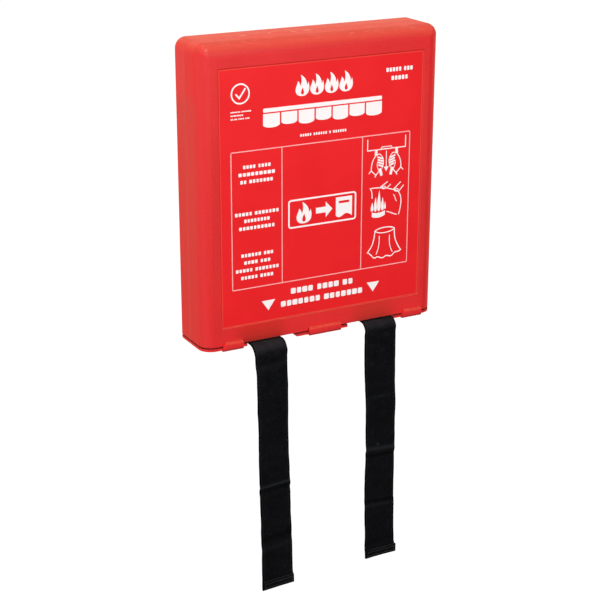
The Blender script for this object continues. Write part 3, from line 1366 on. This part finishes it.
def pan_icon(icons):
    """Right column, middle: cloth held over a burning pan."""
    icons.line(curve(((54.6, 123.2), (62.0, 124.0), (80.0, 121.8), (88.6, 116.2),
                      (93.8, 110.6), (92.6, 101.0), (89.6, 91.8)), 12), LINE)
    icons.line(curve(((86.8, 91.8), (82.0, 93.4), (78.6, 95.6), (75.2, 96.4)), 8), LINE)
    icons.line(curve(((54.6, 123.2), (57.4, 120.2), (57.0, 116.0), (57.2, 112.6)), 8), LINE)
    icons.line(curve(((83.0, 113.6), (85.4, 111.0), (84.6, 108.6), (86.6, 106.4)), 6), THIN)
    # arms and hands
    for arm in (((75.2, 128.2), (67.2, 123.6)), ((79.0, 125.0), (74.6, 121.6)),
                ((91.0, 126.0), (83.0, 119.6)), ((94.8, 122.2), (89.2, 116.4))):
        icons.line(arm, LINE)
    for x, z in ((71.0, 122.6), (86.2, 118.2)):
        icons.line(ellipse(x, z, 2.3, 1.4, 16), THIN, closed=True)
    pan = curve(((57.2, 97.6), (61.0, 95.6), (69.0, 95.8), (73.0, 98.2)), 8)
    pan += curve(((73.0, 93.4), (69.0, 90.6), (61.0, 90.4), (57.2, 92.8)), 8)
    icons.shape([pan[::-1]])
    # tongues of flame: (x, z, width, height)
    for tongue in ((57.6, 98.6, 4.2, 9.4), (61.6, 98.0, 4.8, 15.6), (65.8, 97.8, 5.6, 22.6),
                   (70.0, 98.2, 4.6, 14.4), (73.0, 99.4, 2.8, 8.6)):
        icons.shape([standing(DROP, *tongue)])


def pot_icon(icons):
    """Right column, bottom: cloth lying over a pot."""
    cover = curve((
        (61.4, 76.8), (64.0, 80.4), (82.4, 80.8),
        (85.0, 77.0), (84.4, 68.0), (87.0, 60.6),
        (93.2, 52.4), (90.0, 49.6), (86.4, 52.6),
        (83.6, 48.8), (80.0, 45.0), (76.6, 50.4),
        (73.2, 47.4), (69.6, 44.6), (66.0, 50.6),
        (62.6, 47.8), (59.4, 46.4), (57.0, 53.4),
        (52.6, 54.6), (59.0, 61.0), (60.6, 68.0), (61.4, 76.8)), 8)[:-1]
    icons.line(cover, 1.15, closed=True)
    icons.line(curve(((61.8, 76.6), (65.0, 72.8), (81.0, 73.2), (84.8, 76.8)), 8), LINE)
    for fold in (((66.8, 70.8), (66.8, 64.0), (66.6, 58.0), (63.2, 51.6)),
                 ((79.2, 70.4), (78.6, 64.0), (79.2, 58.0), (82.8, 51.8))):
        icons.line(curve(fold, 8), 0.9)


def print_icons():
    icons = Print("label_print_icons", MAT["ink"])
    for draw in (centre_icon, pull_icon, pan_icon, pot_icon):
        draw(icons)
    icons.done()


print_bold()
print_fine()
print_lines()
print_icons()


# ---------------------------------------------------------------------------
# stage, light, camera (metres from here on)
# ---------------------------------------------------------------------------
def make_floor_material():
    g = Material("pale_floor")
    tone = g.object_co(scale=1.0).noise(1.5, detail=3.0)
    pale = g.mix((0.90, 0.90, 0.90), (0.925, 0.925, 0.925), tone.ease(0.3, 0.7))
    g.set(Base_Color=pale, Roughness=0.9, Specular_IOR_Level=0.1)
    glow = g.node("ShaderNodeEmission", {"Color": (1.0, 1.0, 1.0), "Strength": 1.09})
    lit = g.shader_mix(0.88, g.bsdf, glow)
    # the floor is clear from underneath, so the object can be looked at from below
    below = g.node("ShaderNodeNewGeometry", output="Backfacing")
    clear = g.node("ShaderNodeBsdfTransparent")
    g.put(g.shader_mix(below, lit, clear), g.surface)
    return g.mat


def build_floor():
    material = make_floor_material()
    size, z = 30.0, -0.80
    mesh = bpy.data.meshes.new("floor")
    corners = [(-size, -size, z), (size, -size, z), (size, size, z), (-size, size, z)]
    mesh.from_pydata(corners, [], [(0, 1, 2, 3)])
    floor = link("floor", mesh)
    mesh.materials.append(material)
    floor.visible_glossy = False
    floor.visible_diffuse = False
    floor.visible_transmission = False


def build_world():
    """A bright room behind the object, a dim room in front of it, white to the camera."""
    world = bpy.data.worlds.new("studio")
    scene.world = world
    world.use_nodes = True
    g = Graph(world.node_tree)
    output = g.tree.nodes.new("ShaderNodeOutputWorld")
    direction = g.node("ShaderNodeTexCoord", output="Generated").split()
    rear = direction.y.ease(-0.50, 0.50)
    rear_light = direction.z.ease(-0.6, 0.25, to=(0.42, 0.95))
    front_light = direction.z.ease(-0.2, 0.9, to=(0.18, 0.44))
    rear_strength = 0.87
    strength = rear * rear_light * rear_strength + (1.0 - rear) * front_light
    tint = g.mix((1.0, 1.0, 1.0), (1.0, 0.97, 0.72), rear)
    light = g.node("ShaderNodeBackground", {"Color": tint, "Strength": strength})
    seen = g.node("ShaderNodeBackground", {"Color": (1.0, 1.0, 1.0)})
    to_camera = g.node("ShaderNodeLightPath", output="Is Camera Ray")
    g.put(g.shader_mix(to_camera, light, seen), output.inputs[0])


def area(name, place, target, size, power, color=(1, 1, 1), gloss=True):
    light = bpy.data.lights.new(name, "AREA")
    light.shape = "RECTANGLE"
    light.size, light.size_y = size
    light.energy = power
    light.color = color
    ob = link(name, light)
    ob.location = place
    ob.rotation_mode = "QUATERNION"
    ob.rotation_quaternion = (Vector(target) - Vector(place)).to_track_quat("-Z", "Y")
    ob.visible_glossy = gloss


def build_camera():
    data = bpy.data.cameras.new("camera")
    cam = link("camera", data)
    scene.camera = cam
    data.sensor_width = 36.0
    data.lens = 89.9407895
    data.clip_start, data.clip_end = 0.05, 60.0
    azimuth, elevation, roll = math.radians(-28.45), math.radians(19.65), math.radians(0.16)
    back = Vector((math.sin(azimuth) * math.cos(elevation),
                   -math.cos(azimuth) * math.cos(elevation), math.sin(elevation)))
    level = (-back).cross(Vector((0, 0, 1))).normalized()
    upright = level.cross(-back)
    right = level * math.cos(roll) + upright * math.sin(roll)
    up = -level * math.sin(roll) + upright * math.cos(roll)
    # distance back, then shifts right and up, in millimetres
    place = (back * 1624.91 + right * 6.60 + up * 8.96) * MM
    place.z -= 0.1507
    matrix = Matrix((right, up, back)).transposed().to_4x4()
    matrix.translation = place
    cam.matrix_world = matrix


build_floor()
build_world()
area("key_top", place=(-0.05, -0.35, 1.25), target=(0, -0.03, 0.05), size=(1.5, 0.9),
     power=5.0, color=(1.0, 0.98, 0.95))
area("key_front", place=(-0.25, -1.75, 0.62), target=(0, -0.05, 0.05), size=(1.6, 0.9),
     power=26.0)
area("fill_left", place=(-1.9, -0.35, 0.30), target=(0, -0.03, -0.05), size=(1.2, 1.4),
     power=17.5, gloss=False)
build_camera()

scene.view_settings.view_transform = "Standard"
scene.view_settings.look = "None"
scene.view_settings.exposure = 0.0
scene.view_settings.gamma = 1.0

bpy.context.view_layer.update()
